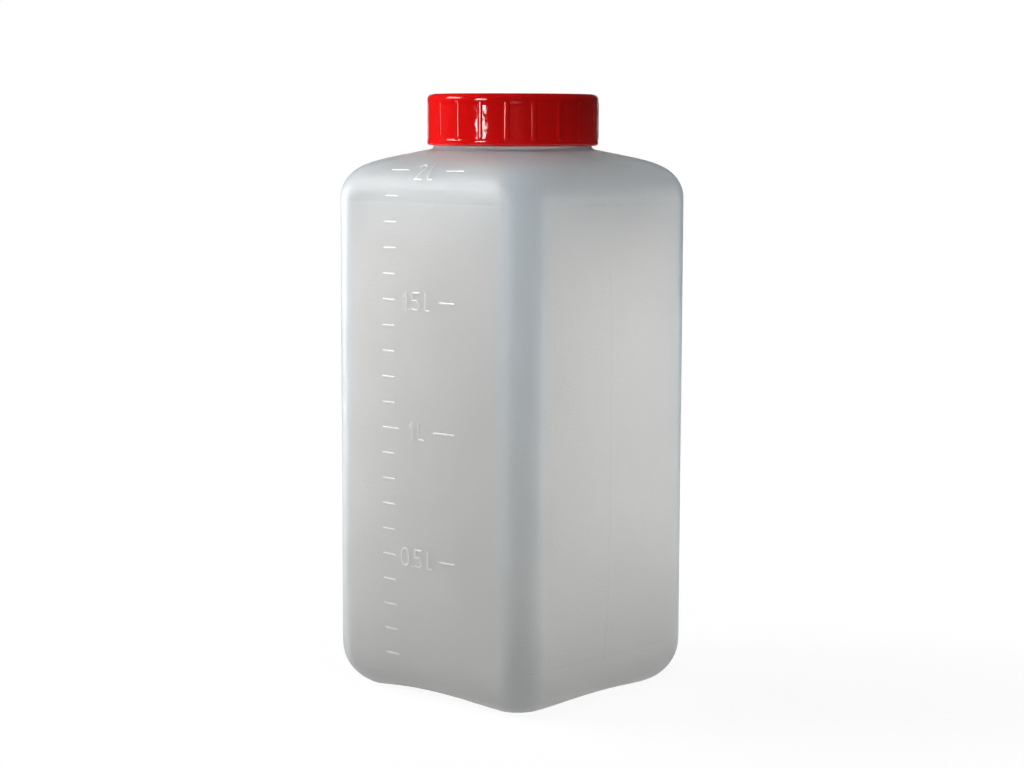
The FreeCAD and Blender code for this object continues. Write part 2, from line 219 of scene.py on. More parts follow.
def square_ring(height, half_width, corner_radius, bulge=0.0):
    """A level ring of the body's outline."""
    return ring_at(COLUMN_ANGLES, height, outline(COLUMN_ANGLES, half_width, corner_radius, bulge))


def base_rings(inset, bottom):
    """From near the middle of the base out to the wall's foot."""
    half, corner, foot_corner = HALF_WIDTH - inset, CORNER_RADIUS - inset, FOOT_CORNER_RADIUS - inset
    foot_half = half - BASE_INSET
    rings = []
    for share in np.linspace(0, 1, FOOT_ROWS)[1:-1]:
        rings.append(square_ring(bottom, foot_half * share, foot_corner * share))
    for angle in np.linspace(0, math.pi / 2, BASE_ROWS):
        drawn_in = 1 - math.sin(angle)
        width = half - BASE_INSET * drawn_in
        rounding = corner + (foot_corner - corner) * drawn_in
        height = BASE_RISE + (bottom - BASE_RISE) * math.cos(angle)
        rings.append(square_ring(height, width, rounding))
    return [arched(ring, bottom) for ring in rings]


# %% [markdown]
# The mould's parts leave their traces on the plastic: a fine ridge near the middle of each side panel,
# where the two halves close, and a faint crease at the foot and at the top of the wall. A bump in the
# finish could show them, but they are so few that moving the points of the rings is as easy, and it stays
# true from any side.

# %% Rings of the wall
WALL_ROWS = 40
PARTING_RELIEF = 0.05
PARTING_WIDTH = 0.3
CREASE_HEIGHTS = (17.6, 190.3)
CREASE_DEPTH = 0.03
CREASE_WIDTH = 0.3


def parting_line(ring):
    """Raises the fine ridge that the mould's two halves leave up the side panels."""
    across = np.abs(ring[:, 1] - PARTING_PLACE)
    ridge = PARTING_RELIEF * np.maximum(1 - across / PARTING_WIDTH, 0)
    ring[:, 0] += np.sign(ring[:, 0]) * ridge
    return ring


def wall_rings(inset):
    """Up the four panels, closer together at both ends, with a fine crease near each end."""
    turns = np.linspace(0, math.pi, WALL_ROWS)[1:]
    heights = BASE_RISE + (WALL_TOP - BASE_RISE) * (1 - np.cos(turns)) / 2
    for crease in CREASE_HEIGHTS:
        heights = heights[np.abs(heights - crease) > 2 * CREASE_WIDTH]
        heights = np.append(heights, (crease - CREASE_WIDTH, crease, crease + CREASE_WIDTH))
    rings = []
    for height in np.sort(heights):
        sunk = inset + CREASE_DEPTH * (height in CREASE_HEIGHTS)
        rings.append(square_ring(height, HALF_WIDTH - sunk, CORNER_RADIUS - sunk, panel_bulge(height)))
    return rings


# %% Rings of the shoulder
SHOULDER_ROWS = 26


def shoulder_rings(inset, top_radius):
    """From the square wall to the round neck."""
    half, corner, rise = HALF_WIDTH - inset, CORNER_RADIUS - inset, SHOULDER_RISE - inset
    rings = []
    for turn in np.linspace(0, math.pi / 2, SHOULDER_ROWS)[1:]:
        drawn_in = 1 - math.cos(turn)
        width = half + (top_radius - half) * drawn_in
        rounding = corner + (top_radius - corner) * drawn_in
        height = WALL_TOP + rise * shoulder_rise_at(drawn_in)
        rings.append(square_ring(height, width, rounding))
    return rings


# %% [markdown]
# The screw thread is a ridge that climbs the neck by one pitch each turn and runs out to nothing at both
# ends. On a sheet of close rings it is simplest to push points outwards where the ridge passes. The cap's
# inside has the same ridge pushed inwards, so one helper serves both.

# %% The thread's ridge on a ring
THREAD_PITCH = 6.0
THREAD_TURNS = 1.5
THREAD_ROOT_WIDTH = 2.8
THREAD_CREST_WIDTH = 1.2
THREAD_START = 216.68
THREAD_ROW = 0.28
RUN_OUT = math.radians(25)


def thread_share(angles, height, start):
    """From 0 beside the thread to 1 on its crest, at each angle of one height."""
    flank = (THREAD_ROOT_WIDTH - THREAD_CREST_WIDTH) / 2
    share = np.zeros_like(angles)
    for lap in range(math.ceil(THREAD_TURNS)):
        swept = angles + 2 * math.pi * lap
        off = np.abs(height - start - THREAD_PITCH * swept / (2 * math.pi))
        ridge = np.clip((THREAD_ROOT_WIDTH / 2 - off) / flank, 0, 1)
        run_in = np.clip(swept / RUN_OUT, 0, 1)
        run_out = np.clip((2 * math.pi * THREAD_TURNS - swept) / RUN_OUT, 0, 1)
        share = np.maximum(share, ridge * run_in * run_out)
    return share


# %% Rings of the neck, over the rim and down to the throat
ROUND_ROWS = 6
COLLAR_ROUND = 0.3
BORE_ROWS = 8


def arc(centre_radius, centre_height, radius, low, high, count=ROUND_ROWS):
    """(radius, height) pairs along an arc of a section, in degrees above the outward direction."""
    pairs = []
    for angle in np.radians(np.linspace(low, high, count)):
        pairs.append((centre_radius + radius * math.cos(angle), centre_height + radius * math.sin(angle)))
    return pairs


def neck_rings():
    """Flare, collar, threaded length, rim and bore."""
    flare_top = SHOULDER_TOP + FLARE_RADIUS * math.sin(math.radians(FLARE_ANGLE))
    pairs = arc(THREAD_RADIUS + FLARE_RADIUS, flare_top, FLARE_RADIUS, 180 + FLARE_ANGLE, 180)
    pairs += arc(THREAD_RADIUS - COLLAR_ROUND, COLLAR_TOP - COLLAR_ROUND, COLLAR_ROUND, 0, 90)
    for height in np.arange(COLLAR_TOP + THREAD_ROW, RIM_TOP - RIM_ROUND, THREAD_ROW):
        pairs.append((NECK_RADIUS, height))
    pairs += arc(NECK_RADIUS - RIM_ROUND, RIM_TOP - RIM_ROUND, RIM_ROUND, 0, 90)
    pairs += arc(BORE_RADIUS + COLLAR_ROUND, RIM_TOP - COLLAR_ROUND, COLLAR_ROUND, 90, 180)
    throat = SHOULDER_TOP - WALL
    for height in np.linspace(RIM_TOP - 2 * COLLAR_ROUND, throat + COLLAR_ROUND, BORE_ROWS):
        pairs.append((BORE_RADIUS, height))
    rings = []
    for radius, height in pairs:
        distance = np.full_like(COLUMN_ANGLES, radius)
        if radius == NECK_RADIUS:
            ridge = thread_share(COLUMN_ANGLES, height, THREAD_START)
            distance += (THREAD_RADIUS - NECK_RADIUS) * ridge
        rings.append(ring_at(COLUMN_ANGLES, height, distance))
    return rings


# %% The bottle's skin, outside and inside in one sheet
outside = base_rings(0, 0)
outside += [parting_line(ring) for ring in wall_rings(0)]
outside += shoulder_rings(0, SHOULDER_TOP_RADIUS)
inside = base_rings(WALL, BASE_THICKNESS)
inside += wall_rings(WALL)
inside += shoulder_rings(WALL, THROAT_RADIUS)
bottle_rings = outside + neck_rings() + inside[::-1]
bottle = skin_rings(
    "bottle_skin", bottle_rings, (0, 0, ARCH_RISE), (0, 0, ARCH_RISE + BASE_THICKNESS)
)
print("bottle skin", len(bottle_rings), "rings,", len(bottle.data.polygons), "faces")

# %% [markdown]
# Round the upright corners and over the shoulder the wall is painted cooler and greyer than the milky
# panels: painted shade, standing in for the shade that falls there. A number on each point of the mesh,
# from 0 on a panel to 1 on a corner, keeps that painted shade with the piece, and its finish reads the
# number as an attribute.

# %% The painted shade on each point of the wall
CORNER_SHADE_STARTS = 34.0
CORNER_SHADE_FULL = 39.5
SHOULDER_SHADE_STARTS = 172.0
SHOULDER_SHADE_FULL = 200.0
SHOULDER_SHADE_SHARE = 0.5
LOW_CORNER_SHADE_SHARE = 0.3


def eased(values, start, full):
    """From 0 at the start to 1 at the full value, with soft ends."""
    share = np.clip((values - start) / (full - start), 0, 1)
    return share**2 * (3 - 2 * share)


skin_points = np.array([vertex.co for vertex in bottle.data.vertices]) / MM
turns = np.degrees(np.arctan2(skin_points[:, 1], skin_points[:, 0]))
from_panel = np.abs((turns + 45) % 90 - 45)
# Painted shade: a cooler tint up the corners, weaker near the foot, and half as strong over the shoulder.
corner_shade_rise = LOW_CORNER_SHADE_SHARE + (1 - LOW_CORNER_SHADE_SHARE) * eased(skin_points[:, 2], BASE_RISE, WALL_TOP)
corner_shade = eased(from_panel, CORNER_SHADE_STARTS, CORNER_SHADE_FULL) * corner_shade_rise
shoulder_shade = SHOULDER_SHADE_SHARE * eased(skin_points[:, 2], SHOULDER_SHADE_STARTS, SHOULDER_SHADE_FULL)
painted_shade = np.maximum(corner_shade, shoulder_shade)
painted_shade_attribute = bottle.data.attributes.new("painted_shade", "FLOAT", "POINT")
painted_shade_attribute.data.foreach_set("value", painted_shade.astype(np.float32))
print("mean stretch", round(float(painted_shade.mean()), 2))

# %% [markdown]
# The volume scale is engraved in the mould, so on the bottle it stands proud as low rounded beads. A font
# would need bending to the swollen panel, so each mark or figure is a pen stroke instead: a line of
# points laid on the panel, or on the slope of the shoulder for the topmost figure. A later cell sweeps
# the beads along the strokes.

# %% The front of the bottle as a surface to write on
FIRST_MARK_HEIGHT = 17.0
MARK_STEP = 9.75
TOP_DRAWN_IN = 0.2
SLOPE_STEP = 0.01
HALVINGS = 30
shoulder_inset = HALF_WIDTH - SHOULDER_TOP_RADIUS


def on_shoulder(side, drawn_in):
    """A point of the shoulder's front."""
    height = WALL_TOP + SHOULDER_RISE * shoulder_rise_at(drawn_in)
    return np.array([side, shoulder_inset * drawn_in - HALF_WIDTH, height])


def on_front(side, height):
    """The point of the front panel, or of the shoulder just above it, at that side place and height."""
    if height <= WALL_TOP:
        _, centre, radius = panel_arc(flat_half, CORNER_RADIUS, panel_bulge(height))
        return np.array([side, -centre - math.sqrt(radius**2 - side**2), height])
    low, high = 0.0, 1.0
    for _ in range(HALVINGS):
        middle = (low + high) / 2
        low, high = (middle, high) if on_shoulder(side, middle)[2] < height else (low, middle)
    return on_shoulder(side, low)


def on_top(side, climb):
    """The point of the shoulder's front that lies that far up the slope from the full mark."""
    below, above = on_shoulder(0, TOP_DRAWN_IN - SLOPE_STEP), on_shoulder(0, TOP_DRAWN_IN + SLOPE_STEP)
    per_mm = 2 * SLOPE_STEP / np.linalg.norm(above - below)
    return on_shoulder(side, TOP_DRAWN_IN + climb * per_mm)


# %% The strokes of the scale
WALL_MARKS = 19
LITRE_MARK = 10
WALL_FIGURES = {5: "0.5 L", 10: "1 L", 15: "1.5 L"}
TOP_FIGURE = "2 L"
SCALE_REACH = 18.8
MARK_LENGTH = 6.6
LITRE_MARK_LENGTH = 9.0
DASH_LENGTH = 7.9
LITRE_DASH_LENGTH = 10.6
TOP_DASH_LENGTH = 9.3
MARK_WIDTH = 0.8
FIGURE_HEIGHT = 7.2
FIGURE_CENTRE = -0.6
FIGURE_SPACE = 0.24
SPACE_WIDTH = 0.01
FIGURE_STROKES = {
    "0": [
        (0.15, 0), (0.42, 0), (0.57, 0.2), (0.57, 0.8),
        (0.42, 1), (0.15, 1), (0, 0.8), (0, 0.2), (0.15, 0),
    ],
    "1": [(0, 0.72), (0.24, 1), (0.24, 0)],
    "2": [(0, 0.8), (0.15, 1), (0.42, 1), (0.57, 0.8), (0.57, 0.62), (0, 0), (0.57, 0)],
    "5": [(0.53, 1), (0.04, 1), (0, 0.55), (0.37, 0.58), (0.56, 0.4), (0.56, 0.17), (0.4, 0), (0, 0.05)],
    "L": [(0, 1), (0, 0), (0.34, 0)],
    ".": [(0, 0), (0.01, 0)],
    " ": [],
}


def level_stroke(left, right, height):
    """A mark between two side places, measured over its round ends."""
    return [(left + MARK_WIDTH / 2, height), (right - MARK_WIDTH / 2, height)]


def figure_width(sign):
    """Width of one figure in heights."""
    return max((x for x, y in FIGURE_STROKES[sign]), default=SPACE_WIDTH)


def figure_lines(text, height):
    """The strokes of a line of figures, centred on the scale."""
    pen = FIGURE_HEIGHT - MARK_WIDTH
    width = sum(figure_width(sign) for sign in text) + FIGURE_SPACE * (len(text) - 1)
    left = FIGURE_CENTRE - width * pen / 2
    lines = []
    for sign in text:
        lines.append([(left + x * pen, height + (y - 0.5) * pen) for x, y in FIGURE_STROKES[sign]])
        left += pen * (figure_width(sign) + FIGURE_SPACE)
    return [line for line in lines if line]


# %% The lines of the wall and of the shoulder
wall_lines = []
for mark in range(1, WALL_MARKS + 1):
    mark_height = FIRST_MARK_HEIGHT + (mark - 1) * MARK_STEP
    length, dash = MARK_LENGTH, DASH_LENGTH
    if mark == LITRE_MARK:
        length, dash = LITRE_MARK_LENGTH, LITRE_DASH_LENGTH
    wall_lines.append(level_stroke(-SCALE_REACH, length - SCALE_REACH, mark_height))
    if mark in WALL_FIGURES:
        wall_lines += figure_lines(WALL_FIGURES[mark], mark_height)
        wall_lines.append(level_stroke(SCALE_REACH - dash, SCALE_REACH, mark_height))
top_lines = figure_lines(TOP_FIGURE, 0)
top_lines.append(level_stroke(-SCALE_REACH, TOP_DASH_LENGTH - SCALE_REACH, 0))
top_lines.append(level_stroke(SCALE_REACH - TOP_DASH_LENGTH, SCALE_REACH, 0))
print("strokes of the scale", len(wall_lines) + len(top_lines))

# %% Lay the strokes on the bottle as a mesh of lines
STROKE_STEP = 0.6
STROKE_SINK = np.array([0, 0.06, 0])


def laid(lines, surface):
    """Points every short step along each line, put just under a surface, and the edges between them."""
    points, edges = [], []
    for line in lines:
        for start, end in zip(line, line[1:]):
            steps = max(1, round(math.dist(start, end) / STROKE_STEP))
            for step in range(steps + 1):
                share = step / steps
                point = [a + (b - a) * share for a, b in zip(start, end)]
                points.append(surface(*point) + STROKE_SINK)
                if step:
                    edges.append((len(points) - 2, len(points) - 1))
    return points, edges


wall_points, wall_edges = laid(wall_lines, on_front)
top_points, top_edges = laid(top_lines, on_top)
shift = len(wall_points)
stroke_points = np.array(wall_points + top_points) * MM
stroke_edges = wall_edges + [(a + shift, b + shift) for a, b in top_edges]
stroke_mesh = bpy.data.meshes.new("scale_strokes")
stroke_mesh.from_pydata(stroke_points.tolist(), stroke_edges, [])
scale = placed("volume_scale", stroke_mesh)
print("points along the strokes", len(stroke_points))

# %% [markdown]
# Two pieces here are made by Geometry Nodes: the beads of the scale and the ribs of the cap. Both trees
# need the same few lines of setup, so those lines are helpers: one starts a tree with its named inputs,
# and the other bakes the evaluated result into a plain mesh and removes the modifier.

# %% Helpers for Geometry Nodes
def new_tree(name, inputs):
    """A Geometry Nodes tree with a geometry in and out and named inputs of the given socket types."""
    tree = bpy.data.node_groups.new(name, "GeometryNodeTree")
    tree.interface.new_socket("Geometry", in_out="INPUT", socket_type="NodeSocketGeometry")
    for label, kind in inputs.items():
        tree.interface.new_socket(label, in_out="INPUT", socket_type=kind)
    tree.interface.new_socket("Geometry", in_out="OUTPUT", socket_type="NodeSocketGeometry")
    return tree, tree.nodes.new("NodeGroupInput"), tree.nodes.new("NodeGroupOutput")


def baked(piece, tree, values):
    """Runs a tree on a piece with those input values and keeps the result as a plain mesh."""
    modifier = piece.modifiers.new(tree.name, "NODES")
    modifier.node_group = tree
    sockets = {item.name: item.identifier for item in tree.interface.items_tree if item.in_out == "INPUT"}
    for label, value in values.items():
        modifier[sockets[label]] = value
    bpy.context.view_layer.update()
    graph = bpy.context.evaluated_depsgraph_get()
    mesh = bpy.data.meshes.new_from_object(piece.evaluated_get(graph), depsgraph=graph)
    piece.modifiers.remove(modifier)
    piece.data = mesh
    print(tree.name, "made", len(mesh.polygons), "faces")


# %% [markdown]
# Blown polyethylene isn't smooth: it has a fine grain from the mould, slow waves, and a cloudy tone. The
# cap and the liner have the same kinds of unevenness at other sizes, so one shader group gives them to
# every material: a height for the bump and a cloudy mask for the colour and the roughness.

# %% The shader group for moulded surfaces
WAVE_DETAIL = 1.0
CLOUD_DETAIL = 2.0
GRAIN_DETAIL = 3.0


def moulded_group():
    """Fine grain and slow waves as a height, and a slow cloudy mask."""
    group = bpy.data.node_groups.new("moulded_surface", "ShaderNodeTree")
    for label in ("Grain Size", "Wave Size", "Cloud Size", "Grain Share"):
        group.interface.new_socket(label, in_out="INPUT", socket_type="NodeSocketFloat")
    group.interface.new_socket("Height", in_out="OUTPUT", socket_type="NodeSocketFloat")
    group.interface.new_socket("Cloud", in_out="OUTPUT", socket_type="NodeSocketFloat")
    nodes, link = group.nodes, group.links.new
    given = nodes.new("NodeGroupInput")
    result = nodes.new("NodeGroupOutput")
    place = nodes.new("ShaderNodeTexCoord")

    def noise(size_name, detail):
        """A noise whose features have the named size in metres."""
        texture = nodes.new("ShaderNodeTexNoise")
        texture.inputs["Detail"].default_value = detail
        per_metre = nodes.new("ShaderNodeMath")
        per_metre.operation = "DIVIDE"
        per_metre.inputs[0].default_value = 1.0
        link(given.outputs[size_name], per_metre.inputs[1])
        link(place.outputs["Object"], texture.inputs["Vector"])
        link(per_metre.outputs[0], texture.inputs["Scale"])
        return texture.outputs["Fac"]

    blend = nodes.new("ShaderNodeMix")
    blend.data_type = "FLOAT"
    link(given.outputs["Grain Share"], blend.inputs["Factor"])
    link(noise("Wave Size", WAVE_DETAIL), blend.inputs["A"])
    link(noise("Grain Size", GRAIN_DETAIL), blend.inputs["B"])
    link(blend.outputs["Result"], result.inputs["Height"])
    link(noise("Cloud Size", CLOUD_DETAIL), result.inputs["Cloud"])
    return group


MOULDED = moulded_group()
print("shader group", MOULDED.name, [item.name for item in MOULDED.interface.items_tree])


# %% A helper that makes a plastic from the group
def plastic(name, dark, light, rough, sizes, bump):
    """A plastic whose colour and roughness follow the cloudy mask and whose bump follows the height."""
    material = bpy.data.materials.new(name)
    material.use_nodes = True
    nodes, link = material.node_tree.nodes, material.node_tree.links.new
    shader = nodes["Principled BSDF"]
    surface = nodes.new("ShaderNodeGroup")
    surface.node_tree = MOULDED
    for label, value in sizes.items():
        surface.inputs[label].default_value = value
    tint = nodes.new("ShaderNodeMix")
    tint.data_type = "RGBA"
    tint.inputs["A"].default_value = (*dark, 1)
    tint.inputs["B"].default_value = (*light, 1)
    link(surface.outputs["Cloud"], tint.inputs["Factor"])
    link(tint.outputs["Result"], shader.inputs["Base Color"])
    gloss = nodes.new("ShaderNodeMapRange")
    gloss.inputs["To Min"].default_value, gloss.inputs["To Max"].default_value = rough
    link(surface.outputs["Cloud"], gloss.inputs["Value"])
    link(gloss.outputs["Result"], shader.inputs["Roughness"])
    relief = nodes.new("ShaderNodeBump")
    relief.inputs["Strength"].default_value = 1.0
    relief.inputs["Distance"].default_value = bump
    link(surface.outputs["Height"], relief.inputs["Height"])
    link(relief.outputs["Normal"], shader.inputs["Normal"])
    return material


# %% [markdown]
# Natural polyethylene lets light in and scatters it, so the wall looks milky. Volume scattering would be
# slow and noisy in so thin a wall, so a rough transmission with a pale colour does it, and the corners and
# the shoulder get a cooler tint of painted shade. The raised beads catch more light than the wall behind
# them, so their finish is painted whiter, a painted highlight, and it is shinier. The cap is a polished
# red plastic and the liner a dull foam.

# %% The bottle's finish
MILKY_TRANSMISSION = 0.7
MILKY_IOR = 1.5
# The colour of the painted shade on the corners and the shoulder.
PAINTED_SHADE_TINT = (0.815, 0.862, 0.898)
polyethylene = plastic(
    "natural_polyethylene",
    dark=(0.805, 0.805, 0.792),
    light=(0.865, 0.865, 0.852),
    rough=(0.38, 0.46),
    sizes={"Grain Size": 0.0007, "Wave Size": 0.02, "Cloud Size": 0.03, "Grain Share": 0.18},
    bump=0.0004,
)
milky_nodes, milky_link = polyethylene.node_tree.nodes, polyethylene.node_tree.links.new
milky_shader = milky_nodes["Principled BSDF"]
milky_shader.inputs["Transmission Weight"].default_value = MILKY_TRANSMISSION
milky_shader.inputs["IOR"].default_value = MILKY_IOR
milky_tint = milky_shader.inputs["Base Color"].links[0].from_socket
# Painted shade: the attribute mixes a cooler, greyer tint into the corners and the shoulder.
painted_shade_node = milky_nodes.new("ShaderNodeAttribute")
painted_shade_node.attribute_name = "painted_shade"
painted_shade_mix = milky_nodes.new("ShaderNodeMix")
painted_shade_mix.data_type = "RGBA"
painted_shade_mix.inputs["B"].default_value = (*PAINTED_SHADE_TINT, 1)
milky_link(painted_shade_node.outputs["Fac"], painted_shade_mix.inputs["Factor"])
milky_link(milky_tint, painted_shade_mix.inputs["A"])
milky_link(painted_shade_mix.outputs["Result"], milky_shader.inputs["Base Color"])
bottle.data.materials.append(polyethylene)
print("finish of the bottle", polyethylene.name)

# %% The finishes of the beads, the cap and the liner
BEAD_IOR = 2.2
BEAD_SPECULAR = 1.0
# Painted highlight: the beads are the wall's own plastic, painted whiter for the light that raised marks
# catch.
bead_plastic_painted_highlight = plastic(
    "raised_polyethylene_painted_highlight",
    dark=(0.93, 0.93, 0.92),
    light=(0.96, 0.96, 0.95),
    rough=(0.28, 0.34),
    sizes={"Grain Size": 0.0007, "Wave Size": 0.01, "Cloud Size": 0.02, "Grain Share": 0.2},
    bump=0.0001,
)
bead_shader = bead_plastic_painted_highlight.node_tree.nodes["Principled BSDF"]
bead_shader.inputs["IOR"].default_value = BEAD_IOR
bead_shader.inputs["Specular IOR Level"].default_value = BEAD_SPECULAR

red_plastic = plastic(
    "red_cap_plastic",
    dark=(0.76, 0.003, 0.003),
    light=(0.84, 0.005, 0.004),
    rough=(0.05, 0.09),
    sizes={"Grain Size": 0.0006, "Wave Size": 0.0035, "Cloud Size": 0.012, "Grain Share": 0.03},
    bump=0.00015,
)

foam = plastic(
    "white_foam",
    dark=(0.8, 0.8, 0.78),
    light=(0.88, 0.88, 0.86),
    rough=(0.7, 0.85),
    sizes={"Grain Size": 0.0006, "Wave Size": 0.003, "Cloud Size": 0.004, "Grain Share": 0.6},
    bump=0.0003,
)
print("other finishes", [finish.name for finish in (bead_plastic_painted_highlight, red_plastic, foam)])

# %% [markdown]
# The beads follow the strokes, which is work for Geometry Nodes. A tree sweeps a small circle along every
# stroke and puts a ball on every point, which rounds the ends and the turns of the figures. Full round
# beads would look like wire, so the tree then presses them towards the nearest place of the skin, and a
# low soft ridge is left.

# %% The beads of the scale, by Geometry Nodes
BEAD_RADIUS = 0.45
BEAD_HEIGHT_SHARE = 0.4
BEAD_SIDES = 12
BALL_RINGS = 5


def bead_tree():
    """Sweeps a circle along every stroke, puts a ball on every point and presses both towards the skin."""
    tree, given, result = new_tree(
        "scale_beads",
        {
            "Bead Radius": "NodeSocketFloat",
            "Sides": "NodeSocketInt",
            "Height Share": "NodeSocketFloat",
            "Skin": "NodeSocketObject",
            "Finish": "NodeSocketMaterial",
        },
    )
    nodes, link = tree.nodes, tree.links.new
    curve = nodes.new("GeometryNodeMeshToCurve")
    circle = nodes.new("GeometryNodeCurvePrimitiveCircle")
    sweep_node = nodes.new("GeometryNodeCurveToMesh")
    sweep_node.inputs["Fill Caps"].default_value = True
    ball = nodes.new("GeometryNodeMeshUVSphere")
    ball.inputs["Rings"].default_value = BALL_RINGS
    place = nodes.new("GeometryNodeInstanceOnPoints")
    join = nodes.new("GeometryNodeJoinGeometry")
    skin = nodes.new("GeometryNodeObjectInfo")
    nearest = nodes.new("GeometryNodeProximity")
    here = nodes.new("GeometryNodeInputPosition")
    pressed = nodes.new("ShaderNodeMix")
    pressed.data_type = "VECTOR"
    press = nodes.new("GeometryNodeSetPosition")
    real = nodes.new("GeometryNodeRealizeInstances")
    smooth = nodes.new("GeometryNodeSetShadeSmooth")
    finish = nodes.new("GeometryNodeSetMaterial")
    link(given.outputs["Geometry"], curve.inputs["Mesh"])
    link(given.outputs["Bead Radius"], circle.inputs["Radius"])
    link(given.outputs["Sides"], circle.inputs["Resolution"])
    link(curve.outputs["Curve"], sweep_node.inputs["Curve"])
    link(circle.outputs["Curve"], sweep_node.inputs["Profile Curve"])
    link(given.outputs["Bead Radius"], ball.inputs["Radius"])
    link(given.outputs["Sides"], ball.inputs["Segments"])
    link(given.outputs["Geometry"], place.inputs["Points"])
    link(ball.outputs["Mesh"], place.inputs["Instance"])
    link(sweep_node.outputs["Mesh"], join.inputs["Geometry"])
    link(place.outputs["Instances"], join.inputs["Geometry"])
    link(join.outputs["Geometry"], real.inputs["Geometry"])
    link(given.outputs["Skin"], skin.inputs["Object"])
    link(skin.outputs["Geometry"], nearest.inputs["Target"])
    link(given.outputs["Height Share"], pressed.inputs["Factor"])
    link(nearest.outputs["Position"], pressed.inputs["A"])
    link(here.outputs["Position"], pressed.inputs["B"])
    link(real.outputs["Geometry"], press.inputs["Geometry"])
    link(pressed.outputs["Result"], press.inputs["Position"])
    link(press.outputs["Geometry"], smooth.inputs["Geometry"])
    link(smooth.outputs["Geometry"], finish.inputs["Geometry"])
    link(given.outputs["Finish"], finish.inputs["Material"])
    link(finish.outputs["Geometry"], result.inputs["Geometry"])
    return tree


bead_sizes = {"Bead Radius": BEAD_RADIUS * MM, "Sides": BEAD_SIDES, "Height Share": BEAD_HEIGHT_SHARE}
baked(scale, bead_tree(), {**bead_sizes, "Skin": bottle, "Finish": bead_plastic_painted_highlight})

# %% [markdown]
# The cap is turned: a crowned top with a soft edge, a smooth band above and below, a shallow panel
# between them for the ribs, and inside it the thread that runs on the neck. It is skinned from rings like
# the bottle, with evenly spaced columns. A step at the panel's edge would mirror the floor as a white
# line, so the panel sinks in over a gentle ramp.

# %% Sizes of the cap
CAP_BOTTOM = 211.2
CAP_CEILING = 229.38
CAP_TOP = 230.98
CAP_CROWN = 0.3
CAP_EDGE_RADIUS = 2.2
CAP_LEAD_IN = 0.7
CAP_LIP_ROUND = 1.0
CAP_BORE_RADIUS = 30.55
CAP_THREAD_CREST = 28.95
CAP_THREAD_START = 214.33
PANEL_RADIUS = 32.95
BAND_RADIUS = 33.15
RIB_RADIUS = 33.2
PANEL_BOTTOM = 213.0
PANEL_TOP = 228.58
TOP_RAMP = 2.2
BOTTOM_RAMP = 1.2
RAMP_ROWS = 9
CAP_COLUMNS = 240
CROWN_ROWS = 12
PANEL_ROWS = 12
CEILING_SHARES = (0.99, 0.8, 0.5, 0.25)
print("cap", 2 * BAND_RADIUS, "mm across and", round(CAP_TOP + CAP_CROWN - CAP_BOTTOM, 2), "mm high")


# %% The cap's shell
def crown_height(radius):
    """Height of the gently domed top at that radius."""
    reach = BAND_RADIUS - CAP_EDGE_RADIUS
    return CAP_TOP + CAP_CROWN * (1 - (radius / reach) ** 2)


def cap_section():
    """(radius, height) pairs from the middle of the top, down the outside and up the inside."""
    reach = BAND_RADIUS - CAP_EDGE_RADIUS
    pairs = [(radius, crown_height(radius)) for radius in np.linspace(0, reach, CROWN_ROWS)[1:-1]]
    pairs += arc(reach, CAP_TOP - CAP_EDGE_RADIUS, CAP_EDGE_RADIUS, 90, 0, 2 * ROUND_ROWS)
    ramp = eased(np.linspace(0, 1, RAMP_ROWS), 0, 1)
    across = BAND_RADIUS + (PANEL_RADIUS - BAND_RADIUS) * ramp
    pairs += zip(across, np.linspace(PANEL_TOP, PANEL_TOP - TOP_RAMP, RAMP_ROWS))
    panel_ends = (PANEL_TOP - TOP_RAMP, PANEL_BOTTOM + BOTTOM_RAMP)
    pairs += [(PANEL_RADIUS, h) for h in np.linspace(*panel_ends, PANEL_ROWS)[1:-1]]
    pairs += zip(across[::-1], np.linspace(PANEL_BOTTOM + BOTTOM_RAMP, PANEL_BOTTOM, RAMP_ROWS))
    pairs += arc(BAND_RADIUS - CAP_LIP_ROUND, CAP_BOTTOM + CAP_LIP_ROUND, CAP_LIP_ROUND, 0, -90)
    pairs += [(CAP_BORE_RADIUS + CAP_LEAD_IN, CAP_BOTTOM)]
    pairs += [(CAP_BORE_RADIUS, h) for h in np.arange(CAP_BOTTOM + CAP_LEAD_IN, CAP_CEILING, THREAD_ROW)]
    pairs += [(CAP_BORE_RADIUS * share, CAP_CEILING) for share in CEILING_SHARES]
    return pairs


cap_angles = np.linspace(0, 2 * math.pi, CAP_COLUMNS, endpoint=False)
cap_rings = []
for radius, height in cap_section():
    distance = np.full_like(cap_angles, radius)
    if radius == CAP_BORE_RADIUS:
        ridge = thread_share(cap_angles, height, CAP_THREAD_START)
        distance -= (CAP_BORE_RADIUS - CAP_THREAD_CREST) * ridge
    cap_rings.append(ring_at(cap_angles, height, distance)[::-1])
cap = skin_rings("cap_shell", cap_rings, (0, 0, CAP_TOP + CAP_CROWN), (0, 0, CAP_CEILING))
cap.data.materials.append(red_plastic)
print("cap shell", len(cap_rings), "rings,", len(cap.data.polygons), "faces")

# %% [markdown]
# The grip ribs are all alike and evenly spaced, which is what instancing is for. One rib is made as a
# small cushion-shaped strip with rounded flanks and ends, and a Geometry Nodes tree turns copies of it
# round the cap's axis.

# %% One rib
RIB_COUNT = 20
RIB_TURN = math.radians(1.9)
RIB_WIDTH = 2.3
RIB_ROOT = 0.3
RIB_END = 1.1
RIB_END_SHARE = 0.5
FLANK_POWER = 0.7
RIB_ACROSS = 10
RIB_ALONG = 14


